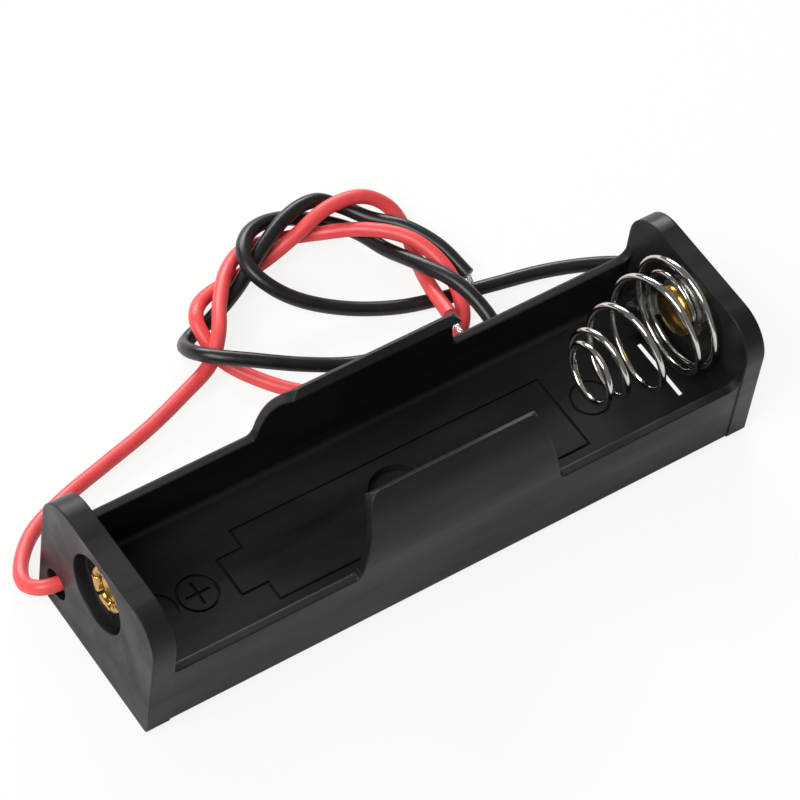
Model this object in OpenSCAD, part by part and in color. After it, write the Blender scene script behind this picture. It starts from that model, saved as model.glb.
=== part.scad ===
// Open-top holder for one cylindrical cell, with a conical spring contact
// and two flying leads. X runs along the cell, from the button end to the
// spring end. The origin is the middle of the underside.

/* [Cell] */
// Diameter of the cell
cell_d = 14.5; // [13.8:0.1:15]
// Length of the cell with its button
cell_l = 50.5; // [46:0.5:54]
// Gap between the cell and each side wall
cell_gap = 0.05; // [0.05:0.05:0.3]

/* [Housing] */
// Thickness of the side walls and of the spring clips above them
wall_t = 0.8; // [0.6:0.05:1.2]
// Thickness of the floor under the cell
floor_t = 1.85; // [1.6:0.05:2.6]
// Height of the low stretches of side wall
wall_h = 7.1; // [6:0.1:8.5]
// Height of the two end plates
end_h = 13.5; // [13:0.1:15]
// Thickness of the end plate behind the cell's button
plus_t = 2.1; // [1.8:0.1:3]
// Thickness of the end plate behind the spring
minus_t = 1.8; // [1.7:0.1:3]
// How far each end plate stands out past the side walls
end_lip = 0.1; // [0.05:0.05:0.3]
// Radius of the end plates' top corners
end_r = 3.4; // [2:0.1:4]
// Radius where the low walls rise to the spring's end plate
rise_r = 1.2; // [0.5:0.1:2]
// Radius along the underside's long edges
foot_r = 0.5; // [0.3:0.1:0.7]
// Radius between floor and side wall
floor_fillet = 0.5; // [0.3:0.1:1]

/* [Clips] */
// Length of the raised clips where they leave the low walls
clip_l = 19.4; // [14:0.2:24]
// Place of the clips' middle along the cell
clip_x = -0.2; // [-2:0.1:2]
// How much each end of a clip has drawn in at its top
clip_slant = 1.6; // [0.5:0.1:3]
// Inner radius of the clips' bend, larger than the cell's, so that they lean in
clip_bend_r = 8.6; // [8:0.1:9.6]
// Height at which the clips begin to bend
clip_bend_z = 8.2; // [7.5:0.1:8.8]
// Angle that the clips bend through
clip_bend = 42; // [36:1:46]
// Radius of the clips' top corners
clip_r = 1.4; // [0.6:0.1:2.2]
// Radius where a clip or the button's end plate meets the low wall
clip_foot_r = 0.5; // [0.3:0.1:0.8]

/* [End plate holes] */
// Diameter of the recess round each rivet's rolled end
recess_d = 7; // [6:0.1:8]
// Thickness of the web left behind each recess
web_t = 0.9; // [0.7:0.05:1.2]
// Diameter of the hole for a lead
lead_hole_d = 2.8; // [2.2:0.1:3]
// Distance of the lead holes from the middle plane
lead_y = 5.7; // [5.4:0.1:5.8]
// Height of the lead holes above the underside
lead_z = 3.1; // [2.8:0.1:3.6]

/* [Floor] */
// Diameter of the screw hole
screw_d = 3.2; // [2.5:0.1:3.6]
// Diameter of the counterbore for the screw's head
screw_head_d = 5.6; // [5:0.1:7]
// Depth of that counterbore
screw_head_h = 1; // [0.6:0.1:1.3]
// Width of the slot through the floor below the spring
slot_w = 1.4; // [1:0.1:2]
// Length of that slot across the floor
slot_l = 7; // [5:0.5:9]
// Distance of that slot from the end plate
slot_gap = 0.5; // [0.3:0.1:1]

/* [Floor marks] */
// Depth of the engraved marks
mark_h = 0.3; // [0.2:0.05:0.5]
// Width of the engraved lines
mark_w = 0.25; // [0.2:0.05:0.5]
// Diameter of the rings round plus and minus
ring_d = 3.7; // [3:0.1:4.5]
// Distance of the plus from the middle
plus_mark_x = 19.65; // [19.2:0.05:20]
// Distance of the minus from the middle
minus_mark_x = 19.1; // [18.9:0.05:19.6]
// Distance from the middle to the outlined cell's button
mark_cell_x = 14.3; // [13.8:0.1:14.6]
// Length of the outlined cell without its button
mark_cell_l = 30.7; // [28:0.1:31]
// Width of the outlined cell
mark_cell_w = 7.8; // [6:0.2:9]
// Length of the outlined button
mark_button_l = 2.45; // [1.5:0.05:2.6]
// Width of the outlined button
mark_button_w = 4.1; // [3:0.1:5]
// Distance of the round dimple from the middle
dimple_x = 23.5; // [23.4:0.1:24]
// Depth of that dimple
dimple_h = 0.15; // [0.1:0.05:0.3]

/* [Contacts] */
// Diameter of the rivets' shanks
shank_d = 3; // [2.4:0.1:3.4]
// Diameter of the rivets' heads
head_d = 4.6; // [4.2:0.1:5]
// Height of the rivets' heads
head_h = 0.8; // [0.6:0.05:1]
// Diameter of the hole through each rivet
rivet_bore_d = 1.8; // [1.2:0.1:2]
// Height of the rivets' rolled ends
roll_h = 0.7; // [0.4:0.05:0.8]
// Number of splits in the rolled ends
roll_splits = 6; // [4:1:8]
// Thickness of the solder tags
tag_t = 0.3; // [0.2:0.05:0.4]
// Diameter of the tags' eyes
tag_eye_d = 5.4; // [5:0.1:6]
// Width of the tags' arms
tag_arm_w = 1.8; // [1.4:0.1:2.2]
// Distance from a rivet's axis to the solder on its tag
solder_reach = 6.45; // [6.3:0.05:6.6]
// Diameter of the solder
solder_d = 1.6; // [1.2:0.1:1.8]

/* [Spring] */
// Diameter of the spring's wire
spring_wire_d = 0.62; // [0.5:0.02:0.7]
// Length of the free spring, from its tag to its tip
spring_free = 10.7; // [9:0.1:11.5]
// Length that the pressed spring and its tag take up
spring_pressed = 3.3; // [3:0.1:4.5]
// Mean diameter of the largest turn
spring_base_d = 10.4; // [9.4:0.1:10.7]
// Mean diameter of the smallest turn
spring_tip_d = 4.9; // [4:0.1:6]
// How far the free spring's tip leans to the front
spring_lean_y = 1.5; // [0:0.1:1.8]
// How far the free spring's tip sags
spring_sag = 0.7; // [0:0.1:1.2]

/* [Leads] */
// Diameter of the leads over their insulation
lead_d = 1.3; // [1.2:0.05:1.35]
// Diameter of their tinned strands
strand_d = 0.5; // [0.4:0.05:0.6]
// Length of bare strands at each lead's loose end
bare_l = 3; // [2:0.5:4]

/* [Hidden] */
$fn = 64;

inner_w = cell_d + 2 * cell_gap;
body_w = inner_w + 2 * wall_t;
end_w = body_w + 2 * end_lip;
axis_z = floor_t + cell_d / 2;
clip_top = clip_bend_z + (clip_bend_r + wall_t) * sin(clip_bend);
button_seat = tag_t + head_h;
body_l = plus_t + button_seat + cell_l + spring_pressed + minus_t;
half_l = body_l / 2;
plus_in = -half_l + plus_t;
minus_in = half_l - minus_t;
eps = 0.01;

// The leads' routes: from the inner face of the end plate, out through its
// hole, down to the table and twice round the loose knot behind the holder.
red_route = [
    [-27.2, 5.7, 3.1], [-29.3, 5.7, 3.1], [-30.7, 6.3, 2.8], [-31.1, 7.9, 1.9],
    [-29.9, 10.1, 1.3], [-27.4, 12.3, 0.9], [-23.5, 13.9, 0.7], [-18.9, 15.1, 0.7],
    [-14.1, 16.2, 1], [-9.8, 17.5, 1.5], [-6.7, 18.6, 2.1], [-4.9, 20.3, 3],
    [-3, 23.1, 2.9], [-0.5, 25.9, 2.5], [2.3, 27.6, 1.6], [5.4, 27.6, 1],
    [8.8, 26.1, 1.5], [12.1, 23.6, 2.8], [14.6, 20.6, 3.3], [15.7, 17.2, 2.8],
    [15.4, 14, 2], [13.8, 11.5, 1.4], [10.6, 10.2, 1], [6.4, 10.1, 0.7],
    [2.4, 11.1, 0.7], [-1.2, 13.4, 0.7], [-3.8, 16.6, 0.7], [-5.2, 19.4, 0.9],
    [-5.6, 21.4, 1.9], [-5.3, 23.1, 2.3], [-3.5, 24.9, 1.5], [-0.4, 25.9, 0.7],
    [3.1, 26.1, 0.9], [6.5, 26.2, 2.4], [9.9, 26.6, 3.7], [13.1, 26.3, 3.7],
    [15.3, 25.1, 2.4], [15.8, 22.9, 1.2], [14.9, 19.6, 1], [13.8, 16.2, 2.1],
    [13.1, 12.4, 3]];
black_route = [
    [27.2, 5.7, 3.1], [29.3, 5.7, 3.1], [31, 6.2, 2.7], [31.9, 7.9, 1.9],
    [31, 9.8, 1.4], [28.3, 11.7, 1.1], [24.1, 13.4, 0.9], [19.2, 14.6, 0.7],
    [14.7, 15.5, 0.7], [10.6, 16.7, 0.7], [6.4, 18.6, 1.2], [2.9, 21, 2.2],
    [1, 23.8, 3.3], [1.2, 26.1, 3.6], [3.2, 28.1, 3.1], [6.2, 28.7, 2.2],
    [9.3, 27.7, 1.3], [11.9, 25.1, 1.1], [13, 21.7, 1.6], [13.8, 18.2, 3.1],
    [15.1, 14.5, 3.8], [15.8, 11, 3.2], [15.5, 9.3, 2.6], [13.6, 9.1, 2.4],
    [10.8, 9.9, 2.6], [7.3, 11.1, 2.8], [3.1, 12.3, 2.9], [-0.7, 13.9, 3.5],
    [-4.4, 16.1, 4], [-7.2, 18.4, 3.8], [-7.7, 20.6, 2.4], [-6.5, 22.4, 0.7],
    [-3.6, 23.3, 0.7], [-0.3, 24.5, 1.5], [3.3, 26.3, 2.8], [6.8, 27.8, 3.4],
    [9.8, 28.2, 3.1], [11.8, 27.1, 2.3], [13.4, 24.9, 2.1], [15.2, 22.3, 2.7],
    [16.7, 19.2, 2.5], [17.4, 15.8, 1.9]];

function unit(v) = v / norm(v);
function way(path, i) =
    unit(path[min(i + 1, len(path) - 1)] - path[max(i - 1, 0)]);
// A ring of points round one station of a swept tube, square to the path
function ring(path, i, r, sides) =
    let (t = way(path, i),
         u = unit(cross(t, abs(t[2]) < 0.9 ? [0, 0, 1] : [1, 0, 0])),
         v = cross(t, u))
    [for (k = [0 : sides - 1])
        path[i] + r * (cos(360 * (k + 0.5) / sides) * u + sin(360 * (k + 0.5) / sides) * v)];

// A tube with closed ends, swept along a path
module swept_tube(path, r, sides) {
    rings = len(path);
    points = [for (i = [0 : rings - 1]) each ring(path, i, r, sides)];
    skin = [for (i = [0 : rings - 2], k = [0 : sides - 1])
        let (n = (k + 1) % sides)
        each [[i * sides + k, (i + 1) * sides + k, i * sides + n],
              [i * sides + n, (i + 1) * sides + k, (i + 1) * sides + n]]];
    near_cap = [[for (k = [0 : sides - 1]) k]];
    far_cap = [[for (k = [sides - 1 : -1 : 0]) (rings - 1) * sides + k]];
    polyhedron(points, concat(skin, near_cap, far_cap));
}

// Extrudes a Y-Z outline along X, from x = from to x = to
module along_x(from, to) {
    translate([from, 0, 0]) rotate([90, 0, 90]) linear_extrude(to - from) children();
}
// Extrudes an X-Z outline across the whole width
module across_y() {
    rotate([90, 0, 0]) linear_extrude(2 * end_w, center = true) children();
}
// A cylinder along X, from x = from to x = to, in the cell's axis
module on_axis(d, from, to) {
    translate([from, 0, axis_z]) rotate([0, 90, 0]) cylinder(d = d, h = to - from);
}
// A rectangle with two sizes of corner, standing on the Y axis
module corner_box(w, h, top_r, low_r) {
    translate([-w / 2, low_r]) square([w, h - top_r - low_r]);
    translate([-w / 2 + low_r, 0]) square([w - 2 * low_r, h - top_r]);
    translate([-w / 2 + top_r, h / 2]) square([w - 2 * top_r, h / 2]);
    for (side = [-1, 1]) {
        translate([side * (w / 2 - top_r), h - top_r]) circle(r = top_r);
        translate([side * (w / 2 - low_r), low_r]) circle(r = low_r);
    }
}

// Outline of floor, walls and clips across the cell: upright, then bent in
// over the cell, with the clips' ends square to their faces
module channel_outline() {
    difference() {
        union() {
            translate([-body_w / 2, foot_r]) square([body_w, clip_bend_z - foot_r]);
            translate([-body_w / 2 + foot_r, 0]) square([body_w - 2 * foot_r, floor_t]);
            for (side = [-1, 1])
                translate([side * (body_w / 2 - foot_r), foot_r]) circle(r = foot_r);
        }
        translate([-inner_w / 2, floor_t + floor_fillet]) square([inner_w, clip_bend_z]);
        translate([-inner_w / 2 + floor_fillet, floor_t])
            square([inner_w - 2 * floor_fillet, clip_bend_z]);
        for (side = [-1, 1])
            translate([side * (inner_w / 2 - floor_fillet), floor_t + floor_fillet])
                circle(r = floor_fillet);
    }
    for (side = [0, 1])
        mirror([side, 0]) translate([inner_w / 2 - clip_bend_r, clip_bend_z]) intersection() {
            difference() {
                circle(r = clip_bend_r + wall_t);
                circle(r = clip_bend_r);
            }
            polygon([[0, -eps], [2 * clip_bend_r, -eps],
                     2 * clip_bend_r * [1, tan(clip_bend)]]);
        }
}
// A quarter-round fillet that rises from the low wall, towards -X or +X
module rise(side, r) {
    difference() {
        translate([side < 0 ? -r : -0.2, wall_h - eps]) square([r + 0.2, r + eps]);
        translate([side * r, wall_h + r]) circle(r = r);
    }
}
// Outline of a clip seen from the side: its ends slant, its corners are round
module clip_outline() {
    slant = atan(clip_slant / (clip_top - wall_h));
    corner_z = clip_top - clip_r;
    corner_x = clip_l / 2 - (corner_z - wall_h) * tan(slant) - clip_r / cos(slant);
    half = [[0, 0], [clip_l / 2, 0], [clip_l / 2, wall_h],
            [corner_x, corner_z] + clip_r * [cos(slant), sin(slant)],
            [corner_x, clip_top], [0, clip_top]];
    for (side = [0, 1])
        mirror([side, 0]) {
            polygon(half);
            translate([corner_x, corner_z]) circle(r = clip_r);
            translate([clip_l / 2, 0]) rise(1, clip_foot_r);
        }
}
// Outline of the side walls seen from the side
module side_outline() {
    translate([-half_l + eps, 0]) square([body_l - 2 * eps, wall_h]);
    translate([clip_x, 0]) clip_outline();
    translate([plus_in, 0]) rise(1, clip_foot_r);
    translate([minus_in, 0]) rise(-1, rise_r);
}

module floor_marks() {
    translate([0, 0, floor_t - mark_h]) linear_extrude(mark_h + eps) {
        difference() {
            cell_mark(0);
            cell_mark(mark_w);
        }
        for (x = [-plus_mark_x, minus_mark_x])
            translate([x, 0]) difference() {
                circle(d = ring_d);
                circle(d = ring_d - 2 * mark_w);
            }
        for (turn = [0, 90])
            translate([-plus_mark_x, 0]) rotate(turn)
                square([0.62 * ring_d, mark_w], center = true);
        translate([minus_mark_x, 0]) square([mark_w, 0.62 * ring_d], center = true);
    }
}
// The outlined cell, drawn in by the given amount
module cell_mark(inset) {
    translate([-mark_cell_x + inset, -mark_cell_w / 2 + inset])
        square([mark_cell_l - 2 * inset, mark_cell_w - 2 * inset]);
    translate([-mark_cell_x - mark_button_l + inset, -mark_button_w / 2 + inset])
        square([mark_button_l + eps, mark_button_w - 2 * inset]);
}

module housing() {
    color("#262626") difference() {
        union() {
            intersection() {
                along_x(-half_l, half_l) channel_outline();
                across_y() side_outline();
            }
            along_x(-half_l, plus_in) corner_box(end_w, end_h, end_r, foot_r);
            along_x(minus_in, half_l) corner_box(end_w, end_h, end_r, foot_r);
        }
        on_axis(recess_d, -half_l - eps, plus_in - web_t);
        on_axis(recess_d, minus_in + web_t, half_l + eps);
        on_axis(shank_d, -half_l, plus_in + eps);
        on_axis(shank_d, minus_in - eps, half_l);
        for (x = [-half_l - eps, minus_in - eps])
            translate([x, lead_y, lead_z]) rotate([0, 90, 0])
                cylinder(d = lead_hole_d, h = max(plus_t, minus_t) + 2 * eps);
        translate([0, 0, -eps]) cylinder(d = screw_d, h = floor_t + 2 * eps);
        translate([0, 0, floor_t - screw_head_h])
            cylinder(d = screw_head_d, h = screw_head_h + eps);
        translate([minus_in - slot_gap - slot_w, -slot_l / 2, -eps])
            cube([slot_w, slot_l, floor_t + 2 * eps]);
        floor_marks();
        translate([-dimple_x, 0, floor_t - dimple_h]) cylinder(d = ring_d, h = dimple_h + eps);
    }
}

// A tubular rivet along +X: its head stands on x = 0, its shank runs to
// x = -grip, and its split end is rolled over beyond
module rivet(grip) {
    dome_r = 0.35;
    difference() {
        rotate([0, 90, 0]) rotate_extrude() {
            translate([rivet_bore_d / 2, -grip]) square([(shank_d - rivet_bore_d) / 2, grip + head_h]);
            translate([rivet_bore_d / 2, 0])
                square([(head_d - rivet_bore_d) / 2, head_h - dome_r]);
            translate([rivet_bore_d / 2, 0])
                square([(head_d - rivet_bore_d) / 2 - dome_r, head_h]);
            translate([head_d / 2 - dome_r, head_h - dome_r]) circle(r = dome_r);
            polygon([[rivet_bore_d / 2, -grip], [rivet_bore_d / 2, -grip - roll_h],
                     [rivet_bore_d / 2 + 0.3, -grip - roll_h],
                     [head_d / 2, -grip - 0.45 * roll_h], [head_d / 2, -grip]]);
        }
        for (k = [0 : roll_splits - 1])
            translate([-grip, 0, 0]) rotate([360 * k / roll_splits, 0, 0])
                translate([-roll_h - eps, 0.3 * head_d, -0.15])
                    cube([roll_h, head_d, 0.3]);
    }
}
module positive_rivet() {
    color("#b08d3c") translate([plus_in + tag_t, 0, axis_z]) rivet(web_t + tag_t);
}
module negative_rivet() {
    color("#b08d3c") translate([minus_in - tag_t - spring_wire_d, 0, axis_z]) mirror([1, 0, 0])
        rivet(web_t + tag_t + spring_wire_d);
}

// A solder tag: an eye round the rivet and an arm towards the lead's hole
module tag_outline() {
    arm_turn = atan2(lead_z - axis_z, lead_y);
    difference() {
        translate([0, axis_z]) union() {
            circle(d = tag_eye_d);
            rotate(arm_turn) translate([0, -tag_arm_w / 2]) square([solder_reach, tag_arm_w]);
            rotate(arm_turn) translate([solder_reach, 0]) circle(d = tag_arm_w);
        }
        translate([0, axis_z]) circle(d = shank_d);
    }
}
module positive_tag() {
    color("#c9c9c4") along_x(plus_in, plus_in + tag_t) tag_outline();
}
module negative_tag() {
    color("#c9c9c4") along_x(minus_in - tag_t, minus_in) tag_outline();
}
solder_y = solder_reach * lead_y / norm([lead_y, axis_z - lead_z]);
solder_z = axis_z - solder_reach * (axis_z - lead_z) / norm([lead_y, axis_z - lead_z]);
module solder(x) {
    translate([x, solder_y, solder_z]) intersection() {
        sphere(d = solder_d, $fn = 32);
        children();
    }
}
module positive_solder() {
    color("#b8bcc0") solder(plus_in + tag_t) translate([0, -5, -5]) cube(10);
}
module negative_solder() {
    color("#b8bcc0") solder(minus_in - tag_t) translate([-10, -5, -5]) cube(10);
}

// The spring: a ring round its rivet, then outwards against the tag, then the
// cone. After each whole turn of the cone, these are the shares of its length
// and of its narrowing that are done. The last turn is flat.
spring_length_done = [0, 0.09, 0.45, 0.78, 1, 1];
spring_narrowing_done = [0, 0.14, 0.2, 0.65, 0.82, 1];
spring_ring_r = shank_d / 2 + spring_wire_d / 2;
spring_seat_x = minus_in - tag_t - spring_wire_d / 2;
ring_turns = 0.9;
out_turns = 0.6;
cone_turns = 4.85;
spring_step = 15;
function blend(t) = t <= 0 ? 0 : t >= 1 ? 1 : t * t * (3 - 2 * t);
function share_done(shares, t) = lookup(t, [for (i = [0 : len(shares) - 1]) [i, shares[i]]]);
function spring_r(t) =
    t < -out_turns ? spring_ring_r :
    t < 0 ? spring_ring_r
            + (spring_base_d / 2 - spring_ring_r) * blend(1 + t / out_turns)
          : spring_base_d / 2
            - (spring_base_d - spring_tip_d) / 2 * share_done(spring_narrowing_done, t);
function spring_point(t) =
    let (far = max(0, t) / cone_turns, turn = 360 * t - 90)
    [spring_seat_x - (spring_free - spring_wire_d) * share_done(spring_length_done, t),
     -spring_lean_y * far - spring_r(t) * cos(turn),
     axis_z - spring_sag * far + spring_r(t) * sin(turn)];
spring_path = [for (a = [-360 * (ring_turns + out_turns) : spring_step : 360 * cone_turns])
    spring_point(a / 360)];
module negative_spring() {
    color("#d0d2d4") swept_tube(spring_path, spring_wire_d / 2, 8);
}

module red_lead() {
    color("#e04a48") swept_tube(red_route, lead_d / 2, 8);
}
module black_lead() {
    color("#1c1c1c") swept_tube(black_route, lead_d / 2, 8);
}
// Bare strands from a lead's inner end to its solder
module joint_strands(side, lead_end) {
    swept_tube([lead_end, lead_end - [side * 0.5, 0, 0],
                [lead_end[0] - side * 0.6, solder_y, solder_z]], strand_d / 2, 8);
}
// Bare strands that carry a lead's line on past its loose end
module loose_strands(route) {
    last = len(route) - 1;
    out = unit(route[last] - route[last - 1]);
    swept_tube([route[last], route[last] + bare_l / 2 * out, route[last] + bare_l * out],
               strand_d / 2, 8);
}
module red_joint_strands() {
    color("#b8bcc0") joint_strands(-1, red_route[0]);
}
module black_joint_strands() {
    color("#b8bcc0") joint_strands(1, black_route[0]);
}
module red_loose_strands() {
    color("#b8bcc0") loose_strands(red_route);
}
module black_loose_strands() {
    color("#b8bcc0") loose_strands(black_route);
}

housing();
positive_rivet();
negative_rivet();
positive_tag();
negative_tag();
negative_spring();
positive_solder();
negative_solder();
red_lead();
black_lead();
red_joint_strands();
black_joint_strands();
red_loose_strands();
black_loose_strands();
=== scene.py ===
# %% [markdown]
# # A holder for one cylindrical cell
# The holder is a moulded black trough for one AA-size cell. A brass rivet meets
# the cell's button, a conical spring pushes on its other end, and a red and a
# black lead leave through the end plates and lie in a loose knot.
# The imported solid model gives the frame: lengths are in metres, with X along
# the cell, Y towards the leads and Z up from the underside. Its moulding and
# its two solder tags are used as they are. The other pieces are made anew in
# their places, because they show more detail than a solid should carry.

# %% Load the frame
from math import cos, pi, radians, sin

import bmesh
import bpy
from mathutils import Matrix, Quaternion, Vector


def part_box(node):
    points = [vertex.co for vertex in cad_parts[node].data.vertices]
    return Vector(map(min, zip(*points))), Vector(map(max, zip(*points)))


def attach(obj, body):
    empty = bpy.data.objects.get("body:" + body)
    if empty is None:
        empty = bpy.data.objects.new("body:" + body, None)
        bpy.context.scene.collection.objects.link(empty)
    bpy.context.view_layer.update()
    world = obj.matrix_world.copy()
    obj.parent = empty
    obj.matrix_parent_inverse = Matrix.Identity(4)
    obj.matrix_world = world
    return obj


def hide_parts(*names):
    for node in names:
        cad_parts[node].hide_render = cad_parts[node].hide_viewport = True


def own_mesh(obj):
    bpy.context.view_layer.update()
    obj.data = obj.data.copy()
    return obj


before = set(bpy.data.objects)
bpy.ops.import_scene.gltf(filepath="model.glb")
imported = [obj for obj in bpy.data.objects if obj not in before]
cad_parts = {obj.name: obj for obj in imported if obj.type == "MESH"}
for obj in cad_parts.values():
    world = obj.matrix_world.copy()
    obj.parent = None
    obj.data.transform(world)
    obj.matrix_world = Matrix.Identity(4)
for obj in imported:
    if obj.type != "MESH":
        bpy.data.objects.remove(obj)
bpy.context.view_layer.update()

MM = 0.001


def middle(node):
    """The middle of a CAD node's box."""
    low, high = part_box(node)
    return (Vector(low) + Vector(high)) / 2


# %% [markdown]
# ## Camera
# A long lens, high up beyond the button's end and the front wall, looks down
# into the trough. An object this small is usually seen from far off through
# such a lens, which keeps its far end from shrinking. The camera is rolled a
# little, so that the holder runs up across the picture. Three angles could say
# so, but a quaternion lets the roll be added to the line of sight.

# %% Camera
VIEW_FROM = Vector((-132.83, -148.57, 283.77)) * MM
VIEW_AT = Vector((2.55, 4.92, 7.0)) * MM
VIEW_ROLL = radians(9.39)
LENS = 190.46
SENSOR_WIDTH = 36
NEAREST_SEEN = 10 * MM

camera = bpy.data.objects.new("camera", bpy.data.cameras.new("camera"))
bpy.context.collection.objects.link(camera)
bpy.context.scene.camera = camera
camera.data.lens = LENS
camera.data.sensor_width = SENSOR_WIDTH
camera.data.clip_start = NEAREST_SEEN
camera.location = VIEW_FROM
camera.rotation_mode = "QUATERNION"
level_turn = (VIEW_AT - VIEW_FROM).to_track_quat("-Z", "Y")
camera.rotation_quaternion = level_turn @ Quaternion((0, 0, 1), VIEW_ROLL)
print("camera is", round((VIEW_AT - VIEW_FROM).length, 3), "m from the holder")

# %% [markdown]
# ## Leads
# Each lead is a thin stranded wire in soft insulation. It comes out of the
# hole in its end plate, drops to the table and goes about twice round a loose
# knot, over and under the other one. A ring could be extruded along the route
# step by step, but a curve with a round bevel makes the same tube from a single
# line, and that line can be measured. The route is a list of points, in
# millimetres, and is the same as in the solid model.

# %% Routes of the leads
LEAD_D = 1.3 * MM
RED_ROUTE = [
    (-27.2, 5.7, 3.1), (-29.3, 5.7, 3.1), (-30.7, 6.3, 2.8), (-31.1, 7.9, 1.9),
    (-29.9, 10.1, 1.3), (-27.4, 12.3, 0.9), (-23.5, 13.9, 0.7), (-18.9, 15.1, 0.7),
    (-14.1, 16.2, 1), (-9.8, 17.5, 1.5), (-6.7, 18.6, 2.1), (-4.9, 20.3, 3),
    (-3, 23.1, 2.9), (-0.5, 25.9, 2.5), (2.3, 27.6, 1.6), (5.4, 27.6, 1),
    (8.8, 26.1, 1.5), (12.1, 23.6, 2.8), (14.6, 20.6, 3.3), (15.7, 17.2, 2.8),
    (15.4, 14, 2), (13.8, 11.5, 1.4), (10.6, 10.2, 1), (6.4, 10.1, 0.7),
    (2.4, 11.1, 0.7), (-1.2, 13.4, 0.7), (-3.8, 16.6, 0.7), (-5.2, 19.4, 0.9),
    (-5.6, 21.4, 1.9), (-5.3, 23.1, 2.3), (-3.5, 24.9, 1.5), (-0.4, 25.9, 0.7),
    (3.1, 26.1, 0.9), (6.5, 26.2, 2.4), (9.9, 26.6, 3.7), (13.1, 26.3, 3.7),
    (15.3, 25.1, 2.4), (15.8, 22.9, 1.2), (14.9, 19.6, 1), (13.8, 16.2, 2.1),
    (13.1, 12.4, 3)]
BLACK_ROUTE = [
    (27.2, 5.7, 3.1), (29.3, 5.7, 3.1), (31, 6.2, 2.7), (31.9, 7.9, 1.9),
    (31, 9.8, 1.4), (28.3, 11.7, 1.1), (24.1, 13.4, 0.9), (19.2, 14.6, 0.7),
    (14.7, 15.5, 0.7), (10.6, 16.7, 0.7), (6.4, 18.6, 1.2), (2.9, 21, 2.2),
    (1, 23.8, 3.3), (1.2, 26.1, 3.6), (3.2, 28.1, 3.1), (6.2, 28.7, 2.2),
    (9.3, 27.7, 1.3), (11.9, 25.1, 1.1), (13, 21.7, 1.6), (13.8, 18.2, 3.1),
    (15.1, 14.5, 3.8), (15.8, 11, 3.2), (15.5, 9.3, 2.6), (13.6, 9.1, 2.4),
    (10.8, 9.9, 2.6), (7.3, 11.1, 2.8), (3.1, 12.3, 2.9), (-0.7, 13.9, 3.5),
    (-4.4, 16.1, 4), (-7.2, 18.4, 3.8), (-7.7, 20.6, 2.4), (-6.5, 22.4, 0.7),
    (-3.6, 23.3, 0.7), (-0.3, 24.5, 1.5), (3.3, 26.3, 2.8), (6.8, 27.8, 3.4),
    (9.8, 28.2, 3.1), (11.8, 27.1, 2.3), (13.4, 24.9, 2.1), (15.2, 22.3, 2.7),
    (16.7, 19.2, 2.5), (17.4, 15.8, 1.9)]


# %% A smooth line through the points
def smooth_route(points, steps=8):
    """Points on a smooth curve through all the given ones, never lower than
    the lead's own radius above the table. Each handle reaches a third of the
    way to the next point, and runs level with the points on either side."""
    stops = [Vector(p) * MM for p in points]
    last = len(stops) - 1
    ways = [(stops[min(i + 1, last)] - stops[max(i - 1, 0)]).normalized()
            for i in range(last + 1)]
    line = [stops[0]]
    for i in range(last):
        reach = (stops[i + 1] - stops[i]).length / 3
        handles = (stops[i], stops[i] + ways[i] * reach,
                   stops[i + 1] - ways[i + 1] * reach, stops[i + 1])
        for step in range(1, steps + 1):
            t = step / steps
            share = ((1 - t) ** 3, 3 * t * (1 - t) ** 2, 3 * t * t * (1 - t), t ** 3)
            line.append(sum((h * s for h, s in zip(handles, share)), Vector()))
    for p in line:
        p.z = max(p.z, LEAD_D / 2)
    return line


def line_length(line):
    """The length of a line of points."""
    return sum((b - a).length for a, b in zip(line, line[1:]))


red_line = smooth_route(RED_ROUTE)
black_line = smooth_route(BLACK_ROUTE)
for colour, line in (("red", red_line), ("black", black_line)):
    print(colour, "lead is", round(line_length(line), 4), "m long")


# %% Tubes along a line
def wire_curve(name, lines, radius, roundness):
    """One curve object with a round tube along each of the lines. The points
    carry the tube's radius, so that the object's box fits it closely, and
    roundness is the bevel's resolution."""
    curve = bpy.data.curves.new(name, "CURVE")
    curve.dimensions = "3D"
    curve.bevel_depth = 1
    curve.bevel_resolution = roundness
    curve.use_fill_caps = True
    for line in lines:
        spline = curve.splines.new("POLY")
        spline.points.add(len(line) - 1)
        for point, place in zip(spline.points, line):
            point.co = (*place, 1)
            point.radius = radius
        spline.use_smooth = True
    obj = bpy.data.objects.new(name, curve)
    bpy.context.collection.objects.link(obj)
    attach(obj, "holder")
    print(name, "tubes:", len(lines), "thickness:", round(2 * radius / MM, 2), "mm")
    return obj


# %% Insulation of both leads
LEAD_ROUNDNESS = 4
red_lead = wire_curve("red_lead_insulation", [red_line], LEAD_D / 2, LEAD_ROUNDNESS)
black_lead = wire_curve("black_lead_insulation", [black_line], LEAD_D / 2, LEAD_ROUNDNESS)
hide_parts("red_lead")
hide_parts("black_lead")

# %% [markdown]
# ## Bare strands
# The insulation is stripped from both ends of each lead. Seven tinned strands
# come out: one in the middle and six twisted round it. Such a bundle could be
# one rod with a twisted bump, but its end is seen from close by, so each
# strand is a tube of its own. Its line turns round the bundle's line.

# %% Twisted strands
STRAND_R = 0.08 * MM
STRAND_ROUNDNESS = 2
OUTER_STRANDS = 6
TWIST_PITCH = 3.2 * MM


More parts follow.
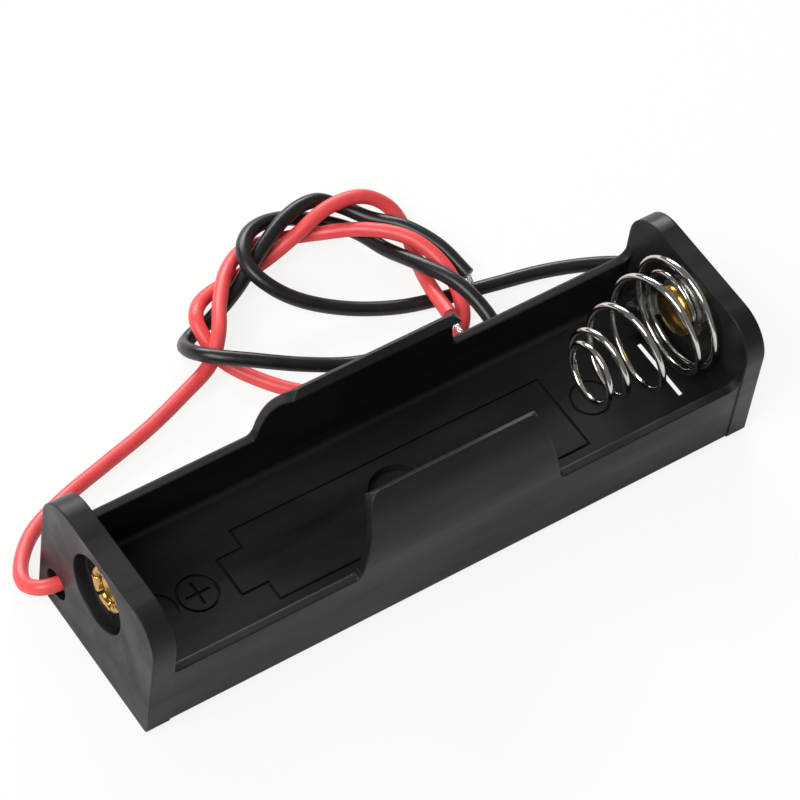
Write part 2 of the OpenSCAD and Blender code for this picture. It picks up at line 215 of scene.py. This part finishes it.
def twisted_strands(name, line, fan=0.0):
    """A bundle of strands along a line. fan is how much wider it is at its end,
    as a share of its width."""
    total = line_length(line)
    paths = [[] for strand in range(OUTER_STRANDS + 1)]
    gone = 0.0
    for i, place in enumerate(line):
        if i:
            gone += (place - line[i - 1]).length
        way = (line[min(i + 1, len(line) - 1)] - line[max(i - 1, 0)]).normalized()
        side = way.cross(Vector((0, 0, 1))).normalized()
        up = side.cross(way)
        spread = 2 * STRAND_R * (1 + fan * (gone / total) ** 2)
        paths[0].append(place)
        for k in range(OUTER_STRANDS):
            turn = 2 * pi * (k / OUTER_STRANDS + gone / TWIST_PITCH)
            paths[k + 1].append(place + spread * (cos(turn) * side + sin(turn) * up))
    return wire_curve(name, paths, STRAND_R, STRAND_ROUNDNESS)


# %% [markdown]
# ## The loose ends and the joints
# The strands of a loose end go on from the insulation for two or three
# millimetres and droop a little. The black ones are shorter and bend aside,
# because a turn of the lead lies over them. At the other end the strands run
# from the hole in the end plate, through a knee, into the solder on the tag.

# %% Loose ends
LOOSE_START = 0.3 * MM
LOOSE_FAN = 0.15
LOOSE_STEPS = 10

loose = {}
for name, line, node, length, droop in (
        ("red_loose_end", red_line, "red_loose_strands", 2.9, (0, 0, -0.3)),
        ("black_loose_end", black_line, "black_loose_strands", 1.9, (-0.8, 0.3, -0.5))):
    way = (line[-1] - line[-2]).normalized()
    start = line[-1] - way * LOOSE_START
    shares = [i / LOOSE_STEPS for i in range(LOOSE_STEPS + 1)]
    path = [start + way * length * MM * s + Vector(droop) * MM * s ** 2 for s in shares]
    loose[name] = twisted_strands(name, path, LOOSE_FAN)
    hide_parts(node)

# %% Joints inside the bay
KNEE_REACH = 0.4 * MM
KNEE_STEPS, RUN_STEPS = 4, 6

joints = {}
for name, line, node, solder in (
        ("red_inner_end", red_line, "red_joint_strands", "positive_solder"),
        ("black_inner_end", black_line, "black_joint_strands", "negative_solder")):
    inwards = (line[0] - line[1]).normalized()
    knee = line[0] + inwards * KNEE_REACH
    blob = middle(solder)
    bend = [line[0].lerp(knee, i / KNEE_STEPS) for i in range(KNEE_STEPS + 1)]
    bend += [knee.lerp(blob, i / RUN_STEPS) for i in range(1, RUN_STEPS + 1)]
    joints[name] = twisted_strands(name, bend)
    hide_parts(node)

# %% Cords
print("both leads are loose curves, bare at the far end")

# %% [markdown]
# ## Pieces in place of solids
# The spring, the rivets and the solder are meshes that stand in for solids of
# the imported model. Each is linked at the origin with its place in its mesh, is
# shaded smooth, rides on the holder and takes its solid's place. A mesh that
# was spun or cut first gets its faces turned outwards.

# %% Adding a piece
def put(name, mesh, node):
    """Adds a mesh as a piece of the holder, in place of a CAD node."""
    mesh.name = name
    obj = bpy.data.objects.new(name, mesh)
    bpy.context.collection.objects.link(obj)
    for face in mesh.polygons:
        face.use_smooth = True
    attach(obj, "holder")
    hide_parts(node)
    print(name, "has", len(mesh.polygons), "faces")
    return obj


def put_shape(name, bm, node):
    """Turns a bmesh's faces outwards, and adds it as a piece."""
    bmesh.ops.recalc_face_normals(bm, faces=bm.faces)
    mesh = bpy.data.meshes.new(name)
    bm.to_mesh(mesh)
    bm.free()
    return put(name, mesh, node)


# %% [markdown]
# ## Spring
# The spring is one nickel-plated wire. Its first turn is clamped under the
# rivet's head, then it swings out against the tag and winds inwards to the
# flat turn that the cell presses. A Screw modifier makes even turns only, and
# these differ in pitch and width, so the line is worked out turn by turn, as
# in the solid model, and a round tube follows it.

# %% The spring's line
SPRING_WIRE = 0.62 * MM
SPRING_AXIS_Z = 9.1 * MM
RING_R = 1.81 * MM
BASE_R = 5.2 * MM
TIP_R = 2.45 * MM
LEAN_Y = 1.5 * MM
SAG = 0.7 * MM
RING_TURNS, OUT_TURNS, CONE_TURNS = 0.9, 0.6, 4.85
LENGTH_DONE = (0, 0.09, 0.45, 0.78, 1, 1)
NARROWING_DONE = (0, 0.14, 0.2, 0.65, 0.82, 1)
spring_low, spring_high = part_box("negative_spring")
SEAT_X = spring_high[0] - SPRING_WIRE / 2
TIP_X = spring_low[0] + SPRING_WIRE / 2


def eased(t):
    """0 to 1 with a soft start and end."""
    t = min(1.0, max(0.0, t))
    return t * t * (3 - 2 * t)


def share_done(shares, t):
    """How much of a change is done after t turns of the cone. shares gives it
    at each whole turn."""
    i = min(int(max(0.0, t)), len(shares) - 2)
    return shares[i] + (shares[i + 1] - shares[i]) * min(1.0, max(0.0, t) - i)


def spring_point(t):
    """The spring's centreline, t turns from the start of its cone."""
    far = max(0.0, t) / CONE_TURNS
    turn = 2 * pi * t - pi / 2
    if t < 0:
        r = RING_R + (BASE_R - RING_R) * eased(1 + t / OUT_TURNS)
    else:
        r = BASE_R + (TIP_R - BASE_R) * share_done(NARROWING_DONE, t)
    return Vector((SEAT_X + (TIP_X - SEAT_X) * share_done(LENGTH_DONE, t),
                   -LEAN_Y * far - r * cos(turn),
                   SPRING_AXIS_Z - SAG * far + r * sin(turn)))


SPRING_STEPS = 340
ring_start = -RING_TURNS - OUT_TURNS
spring_line = [spring_point(ring_start + (CONE_TURNS - ring_start) * i / SPRING_STEPS)
               for i in range(SPRING_STEPS + 1)]
print("spring wire is", round(line_length(spring_line), 3), "m long")

# %% [markdown]
# ## The spring as a mesh
# A cell presses the spring's tip towards its tag, and its turns then lie inside
# each other. The tube becomes a mesh, which the spring keeps as its own copy, in
# place of the solid spring.

# %% Spring
SPRING_ROUNDNESS = 3

spring_curve = wire_curve("spring_line", [spring_line], SPRING_WIRE / 2, SPRING_ROUNDNESS)
spring_mesh = bpy.data.meshes.new_from_object(spring_curve)
bpy.data.objects.remove(spring_curve)
spring = put("conical_spring", spring_mesh, "negative_spring")
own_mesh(spring)

# %% [markdown]
# ## Rivets
# Each contact is held by a tubular brass rivet. Inside the bay it has a low
# round head. Outside, in the end plate's recess, its end is split and the
# strips are rolled back towards the plastic. Everything on it is round about
# its axis, so it is spun and not built from cylinders: one profile, spun all
# the way round, makes the head and tube, and a short one, spun part of the
# way, makes a strip.

# %% Spinning a profile
SAME_TURN = 1e-6


def spun(bm, profile, angle, steps, start=0.0):
    """Spins a profile of (x, r) points round X. A full turn takes an open
    profile from the axis to the axis, and part of a turn a closed one, whose
    two ends are filled."""
    ring = [bm.verts.new((x, r * cos(start), r * sin(start))) for x, r in profile]
    full = abs(angle - 2 * pi) < SAME_TURN
    edges = [bm.edges.new((a, b)) for a, b in zip(ring, ring[1:] + ring[:1 - full])]
    made = bmesh.ops.spin(bm, geom=ring + edges, cent=(0, 0, 0), axis=(1, 0, 0),
                          angle=angle, steps=steps, use_merge=full)
    if not full:
        bm.faces.new(ring)
        last = [g for g in made["geom_last"] if isinstance(g, bmesh.types.BMEdge)]
        bmesh.ops.contextual_create(bm, geom=last)


# %% Profiles of a rivet
RIVET_BORE_R = 0.9 * MM
BORE_ROOF = 0.1 * MM
MOUTH_FLARE = 0.25 * MM
SHANK_R = 1.5 * MM
HEAD_R = 2.3 * MM
HEAD_H = 0.8 * MM
HEAD_DROP = 0.25 * MM
RIM_FROM = 0.85
TOP_STEPS, RIM_STEPS = 4, 6
ROLL_R = 0.42 * MM
ROLL_OFF = 0.22 * MM
ROLLED_SHARE = 0.97
ROLL_STEPS = 8
STRIP_T = 0.24 * MM


def head_profile(grip):
    """Over the head's low dome and round its rim, along the shank to its end,
    and back up the bore to the axis."""
    top = [(HEAD_H - HEAD_DROP * (k / TOP_STEPS) ** 2, HEAD_R * RIM_FROM * k / TOP_STEPS)
           for k in range(TOP_STEPS + 1)]
    turns = [k / RIM_STEPS * pi / 2 for k in range(1, RIM_STEPS + 1)]
    rim = [((HEAD_H - HEAD_DROP) * cos(a), HEAD_R * (RIM_FROM + (1 - RIM_FROM) * sin(a)))
           for a in turns]
    tube = [(0, SHANK_R), (-grip, SHANK_R), (-grip, RIVET_BORE_R + MOUTH_FLARE),
            (0, RIVET_BORE_R), (BORE_ROOF, 0)]
    return top + rim + tube


def strip_profile(grip):
    """A strip's thickness, rolled outwards through nearly half a turn."""
    outer, inner = [
        [(-grip - radius * sin(a), SHANK_R + ROLL_OFF + radius * cos(a))
         for a in (pi - k / ROLL_STEPS * pi * ROLLED_SHARE for k in range(ROLL_STEPS + 1))]
        for radius in (ROLL_R + STRIP_T / 2, ROLL_R - STRIP_T / 2)]
    return outer + inner[::-1]


# %% Rivets
HEAD_SPIN_STEPS = 48
STRIPS = 6
STRIP_GAP = 0.16
STRIP_SPIN_STEPS = 7
SAME_PLACE = 1e-7


def rivet(name, node, head_face, outwards, grip):
    """A rivet whose head stands on x = head_face, with its rolled end grip
    further on towards outwards, -1 or +1."""
    bm = bmesh.new()
    spun(bm, head_profile(grip), 2 * pi, HEAD_SPIN_STEPS)
    for k in range(STRIPS):
        spun(bm, strip_profile(grip), 2 * pi / STRIPS - STRIP_GAP, STRIP_SPIN_STEPS,
             2 * pi * k / STRIPS + STRIP_GAP / 2)
    bmesh.ops.remove_doubles(bm, verts=bm.verts, dist=SAME_PLACE)
    if outwards > 0:
        bmesh.ops.transform(bm, matrix=Matrix.Scale(-1, 4, (1, 0, 0)), verts=bm.verts)
    bmesh.ops.translate(bm, vec=(head_face, 0, SPRING_AXIS_Z), verts=bm.verts)
    return put_shape(name, bm, node)


TAG_T = 0.3 * MM
WEB_T = 0.9 * MM
plus_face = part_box("positive_tag")[0][0]
minus_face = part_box("negative_tag")[1][0]
positive_rivet = rivet("button_rivet", "positive_rivet", plus_face + TAG_T, -1, WEB_T + TAG_T)
negative_rivet = rivet("spring_rivet", "negative_rivet", minus_face - TAG_T - SPRING_WIRE, 1,
                       WEB_T + TAG_T + SPRING_WIRE)

# %% [markdown]
# ## Solder
# A small smooth dome of solder holds each lead's strands to its tag. It could
# be sculpted, but at under two millimetres across a ball that is cut flat at
# the tag is enough. A few shallow dents keep it from looking turned.

# %% Solder
SOLDER_R = 0.8 * MM
SOLDER_SUBDIVISIONS = 4
DENT_DEPTH = 0.05
DENT_TURNS_Y, DENT_TURNS_Z, DENT_START = 4100, 3700, 1


def solder_dome(name, node, face_x, inwards):
    """A dome on the tag's face, x = face_x, that bulges towards inwards, -1 or
    +1."""
    centre = middle(node)
    centre.x = face_x
    bm = bmesh.new()
    bmesh.ops.create_icosphere(bm, subdivisions=SOLDER_SUBDIVISIONS, radius=SOLDER_R)
    for v in bm.verts:
        dent = (DENT_DEPTH * sin(DENT_TURNS_Y * v.co.y + DENT_START)
                * cos(DENT_TURNS_Z * v.co.z))
        v.co *= 1 + min(0.0, dent)
    cut = bmesh.ops.bisect_plane(bm, geom=bm.verts[:] + bm.edges[:] + bm.faces[:],
                                 plane_co=(0, 0, 0), plane_no=(-inwards, 0, 0), clear_outer=True)
    rim = [g for g in cut["geom_cut"] if isinstance(g, bmesh.types.BMEdge)]
    bmesh.ops.contextual_create(bm, geom=rim)
    bmesh.ops.translate(bm, vec=centre, verts=bm.verts)
    return put_shape(name, bm, node)


positive_dome = solder_dome("button_tag_solder", "positive_solder", plus_face + TAG_T, 1)
negative_dome = solder_dome("spring_tag_solder", "negative_solder", minus_face - TAG_T, -1)


# %% [markdown]
# ## Finishes
# Moulded plastic, soft insulation and metal share one kind of surface: a
# colour, a gloss that changes in clouds a few millimetres wide, and a fine
# grain. A painted image could carry these, but needs every piece unwrapped.
# Noise on Object coordinates needs no unwrapping, and its detail has the same
# real size on every piece.

# %% Nodes
NOISE_LOW, NOISE_HIGH = 0.25, 0.75


def add(tree, kind, inputs, **settings):
    """A new shader node. inputs gives each socket, by name or number, a value
    or the output that feeds it. settings are the node's own properties."""
    node = tree.nodes.new("ShaderNode" + kind)
    for name, value in settings.items():
        setattr(node, name, value)
    for socket, value in inputs.items():
        if isinstance(value, bpy.types.NodeSocket):
            tree.links.new(value, node.inputs[socket])
        else:
            node.inputs[socket].default_value = value
    return node


def noise(tree, scale, detail):
    """A noise pattern on the piece, with scale patches per metre."""
    return add(tree, "TexNoise", {"Vector": tree.nodes["Mapping"].outputs["Vector"],
                                  "Scale": scale, "Detail": detail}).outputs["Fac"]


def spread(tree, value, low, high):
    """A noise pattern, stretched so that most of it lies from low to high."""
    return add(tree, "MapRange", {"Value": value, "From Min": NOISE_LOW, "From Max": NOISE_HIGH,
                                  "To Min": low, "To Max": high}).outputs["Result"]


# %% A finish with clouds and grain
CLOUD_DETAIL, TONE_DETAIL, GRAIN_DETAIL = 4, 3, 3
TONE_SCALE = 1.7
GRAIN_STRENGTH = 0.5


def finish(name, colour, roughness, cloud, grain, metallic=0.0, colour_shift=0.0,
           stretch=(1, 1, 1), gloss=0.5, tint=(1, 1, 1)):
    """A material. cloud and grain are (patches per metre, amount), where the
    grain's amount is in millimetres. colour_shift is how far the colour gets
    darker and lighter, and tint is the cast of its darker patches."""
    material = bpy.data.materials.new(name)
    material.use_nodes = True
    tree = material.node_tree
    shader = tree.nodes["Principled BSDF"]
    shader.inputs["Base Color"].default_value = (*colour, 1)
    shader.inputs["Metallic"].default_value = metallic
    shader.inputs["Specular IOR Level"].default_value = gloss
    where = add(tree, "TexCoord", {})
    add(tree, "Mapping", {"Vector": where.outputs["Object"], "Scale": stretch})

    size, amount = cloud
    gloss_clouds = spread(tree, noise(tree, size, CLOUD_DETAIL), roughness - amount,
                          roughness + amount)
    tree.links.new(gloss_clouds, shader.inputs["Roughness"])
    if colour_shift:
        darker = [c * (1 - colour_shift) * t for c, t in zip(colour, tint)]
        lighter = [min(1, c * (1 + colour_shift)) for c in colour]
        patches = spread(tree, noise(tree, size * TONE_SCALE, TONE_DETAIL), 0, 1)
        tone = add(tree, "Mix", {"Factor": patches, "A": (*darker, 1), "B": (*lighter, 1)},
                   data_type="RGBA", name="tone")
        tree.links.new(tone.outputs["Result"], shader.inputs["Base Color"])
    bump = add(tree, "Bump", {"Height": noise(tree, grain[0], GRAIN_DETAIL),
                              "Strength": GRAIN_STRENGTH, "Distance": grain[1] * MM}, name="grain")
    tree.links.new(bump.outputs["Normal"], shader.inputs["Normal"])
    print(name, "is a finish of", len(tree.nodes), "nodes")
    return material


# %% [markdown]
# ## The moulding's edges
# A moulding has no sharp edges: each is rounded by a fraction of a millimetre,
# catches the light and rubs paler. Bevelling the imported model's triangles
# would tear them, so a Bevel node rounds the edges in the shading alone. Where
# its normal turns away from the real one an edge is near, and the colour there
# moves towards a paler one: worn plastic, and partly a painted highlight along
# the edge. The edges stay sharp near the floor, and a last broad bump keeps the
# large faces from looking machined.

# %% Soft edges, with wear and a painted highlight
EDGE_SAMPLES = 6
SHARP_BELOW, ROUND_ABOVE = 2.0 * MM, 2.4 * MM
SHARP_EDGE = 0.05 * MM
# How near an edge the paler colour starts and is full: wear and a painted highlight.
WEAR_AND_HIGHLIGHT_FROM, WEAR_AND_HIGHLIGHT_TO = 0.99, 0.8
WAVE_DETAIL = 1


def moulded(material, edge, wear_and_highlight, wave):
    """Adds rounded edges, the paler colour that they wear to, which is partly a
    painted highlight, and a broad wave given as (waves per metre, amount in
    millimetres) to a finish with two tones."""
    tree = material.node_tree
    shader, grain, tone, where = [
        tree.nodes[name] for name in ("Principled BSDF", "grain", "tone", "Texture Coordinate")]
    height = add(tree, "SeparateXYZ", {"Vector": where.outputs["Object"]})
    width = add(tree, "MapRange", {"Value": height.outputs["Z"], "From Min": SHARP_BELOW,
                                   "From Max": ROUND_ABOVE, "To Min": SHARP_EDGE, "To Max": edge})
    soft = add(tree, "Bevel", {"Radius": width.outputs["Result"]}, samples=EDGE_SAMPLES)
    tree.links.new(soft.outputs["Normal"], grain.inputs["Normal"])

    real = add(tree, "NewGeometry", {})
    turn = add(tree, "VectorMath", {0: soft.outputs["Normal"], 1: real.outputs["Normal"]},
               operation="DOT_PRODUCT")
    near = add(tree, "MapRange", {"Value": turn.outputs["Value"], "From Min": WEAR_AND_HIGHLIGHT_FROM,
                                  "From Max": WEAR_AND_HIGHLIGHT_TO})
    # Edges turn paler: partly wear, partly a painted highlight along each edge.
    wear_and_highlight_edges = add(tree, "Mix", {"Factor": near.outputs["Result"], "A": tone.outputs["Result"],
                               "B": (*wear_and_highlight, 1)}, data_type="RGBA")
    tree.links.new(wear_and_highlight_edges.outputs["Result"], shader.inputs["Base Color"])

    size, amount = wave
    swell = add(tree, "Bump", {"Height": noise(tree, size, WAVE_DETAIL), "Strength": 1,
                               "Distance": amount * MM, "Normal": grain.outputs["Normal"]})
    tree.links.new(swell.outputs["Normal"], shader.inputs["Normal"])
    print(material.name, "now has", len(tree.nodes), "nodes")
    return material


# %% Plastic and insulation
black_plastic = finish("black_plastic", (0.0125, 0.0125, 0.013), 0.4, cloud=(300, 0.14),
                       grain=(2600, 0.014), colour_shift=0.4, stretch=(0.2, 1, 1), gloss=0.28,
                       tint=(1.3, 1.0, 0.9))
# The paler edge colour stands for wear and for a painted highlight along the edges.
moulded(black_plastic, edge=0.28 * MM, wear_and_highlight=(0.016, 0.016, 0.017), wave=(260, 0.08))
red_skin = finish("red_insulation", (0.89, 0.083, 0.086), 0.4, cloud=(500, 0.06),
                  grain=(1500, 0.02), colour_shift=0.08)
black_skin = finish("black_insulation", (0.01, 0.01, 0.011), 0.34, cloud=(500, 0.06),
                    grain=(1500, 0.02), colour_shift=0.2)

# %% Metals
brass = finish("brass", (0.60, 0.36, 0.11), 0.22, metallic=1.0, cloud=(900, 0.08),
               grain=(5000, 0.03), colour_shift=0.15)
nickel = finish("nickel", (0.64, 0.62, 0.58), 0.09, metallic=1.0, cloud=(1200, 0.06),
                grain=(4000, 0.01))
tinned = finish("tinned_steel", (0.72, 0.72, 0.70), 0.3, metallic=1.0, cloud=(1200, 0.1),
                grain=(4000, 0.02))
solder_metal = finish("solder", (0.66, 0.67, 0.68), 0.22, metallic=1.0, cloud=(1500, 0.1),
                      grain=(2500, 0.04))


# %% Which piece has which finish
def dress(obj, material):
    """Gives a piece one material, in place of any that it had."""
    obj.data.materials.clear()
    obj.data.materials.append(material)


dress(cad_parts["housing"], black_plastic)
dress(red_lead, red_skin)
dress(black_lead, black_skin)
for piece in (positive_rivet, negative_rivet):
    dress(piece, brass)
dress(spring, nickel)
for tag in ("positive_tag", "negative_tag"):
    dress(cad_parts[tag], tinned)
for piece in (positive_dome, negative_dome):
    dress(piece, solder_metal)
for piece in [*loose.values(), *joints.values()]:
    dress(piece, tinned)
print("finishes:", [material.name for material in bpy.data.materials if material.users])

# %% [markdown]
# ## Table
# The holder lies on a white table that runs out of sight. Stronger lamps would
# whiten it, but would wash out the red and the black too. Instead the camera
# sees a share of plain white in it, while the lamps, the shadows and the
# reflections meet an ordinary matt surface.

# %% Table
TABLE_HALF = 1.5
TABLE_DROP = 0.02 * MM
TABLE_COLOUR = (0.9, 0.905, 0.92, 1)
SEEN_WHITE = (1, 1, 0.972, 1)
WHITE_SHARE = 0.85

bm = bmesh.new()
bmesh.ops.create_grid(bm, x_segments=1, y_segments=1, size=TABLE_HALF)
bmesh.ops.translate(bm, vec=(0, 0, -TABLE_DROP), verts=bm.verts)
table_mesh = bpy.data.meshes.new("table")
bm.to_mesh(table_mesh)
bm.free()
table = bpy.data.objects.new("table", table_mesh)
bpy.context.collection.objects.link(table)

paper = bpy.data.materials.new("white_table")
paper.use_nodes = True
tree = paper.node_tree
tree.nodes.remove(tree.nodes["Principled BSDF"])
matt = add(tree, "BsdfDiffuse", {"Color": TABLE_COLOUR})
glow = add(tree, "Emission", {"Color": SEEN_WHITE})
seen = add(tree, "LightPath", {})
lift = add(tree, "Math", {0: seen.outputs["Is Camera Ray"], 1: WHITE_SHARE},
           operation="MULTIPLY")
blend = add(tree, "MixShader", {"Fac": lift.outputs["Value"], 1: matt.outputs["BSDF"],
                                2: glow.outputs["Emission"]})
tree.links.new(blend.outputs["Shader"], tree.nodes["Material Output"].inputs["Surface"])
dress(table, paper)
print("table is", 2 * TABLE_HALF, "m wide")


# %% [markdown]
# ## Lamps and world
# A lamp that is large beside a small glossy object gives long soft highlights,
# where a point lamp would leave hard dots. One softbox stands high beyond the
# button's end, and a lower one behind the leads lights the inside of the near
# wall. A weak even world fills the shadows.

# %% Lamps and world
WORLD_COLOUR = (1, 1, 1, 1)
WORLD_STRENGTH = 0.2


def softbox(name, place, size, power):
    """A rectangular lamp, aimed at the origin. size is its width and height."""
    lamp = bpy.data.lights.new(name, "AREA")
    lamp.shape = "RECTANGLE"
    lamp.size, lamp.size_y = size
    lamp.energy = power
    obj = bpy.data.objects.new(name, lamp)
    bpy.context.collection.objects.link(obj)
    obj.location = place
    obj.rotation_mode = "QUATERNION"
    obj.rotation_quaternion = (-Vector(place)).to_track_quat("-Z", "Y")
    print(name, "softbox is", round(Vector(place).length, 2), "m away, with", power, "W")


softbox("front", (-0.48, -0.08, 0.58), (0.5, 0.4), 4.7)
softbox("back", (0.2, 0.65, 0.36), (0.6, 0.25), 5.0)

world = bpy.data.worlds.new("studio")
bpy.context.scene.world = world
world.use_nodes = True
backdrop = world.node_tree.nodes["Background"]
backdrop.inputs["Color"].default_value = WORLD_COLOUR
backdrop.inputs["Strength"].default_value = WORLD_STRENGTH
bpy.context.scene.view_settings.view_transform = "Standard"
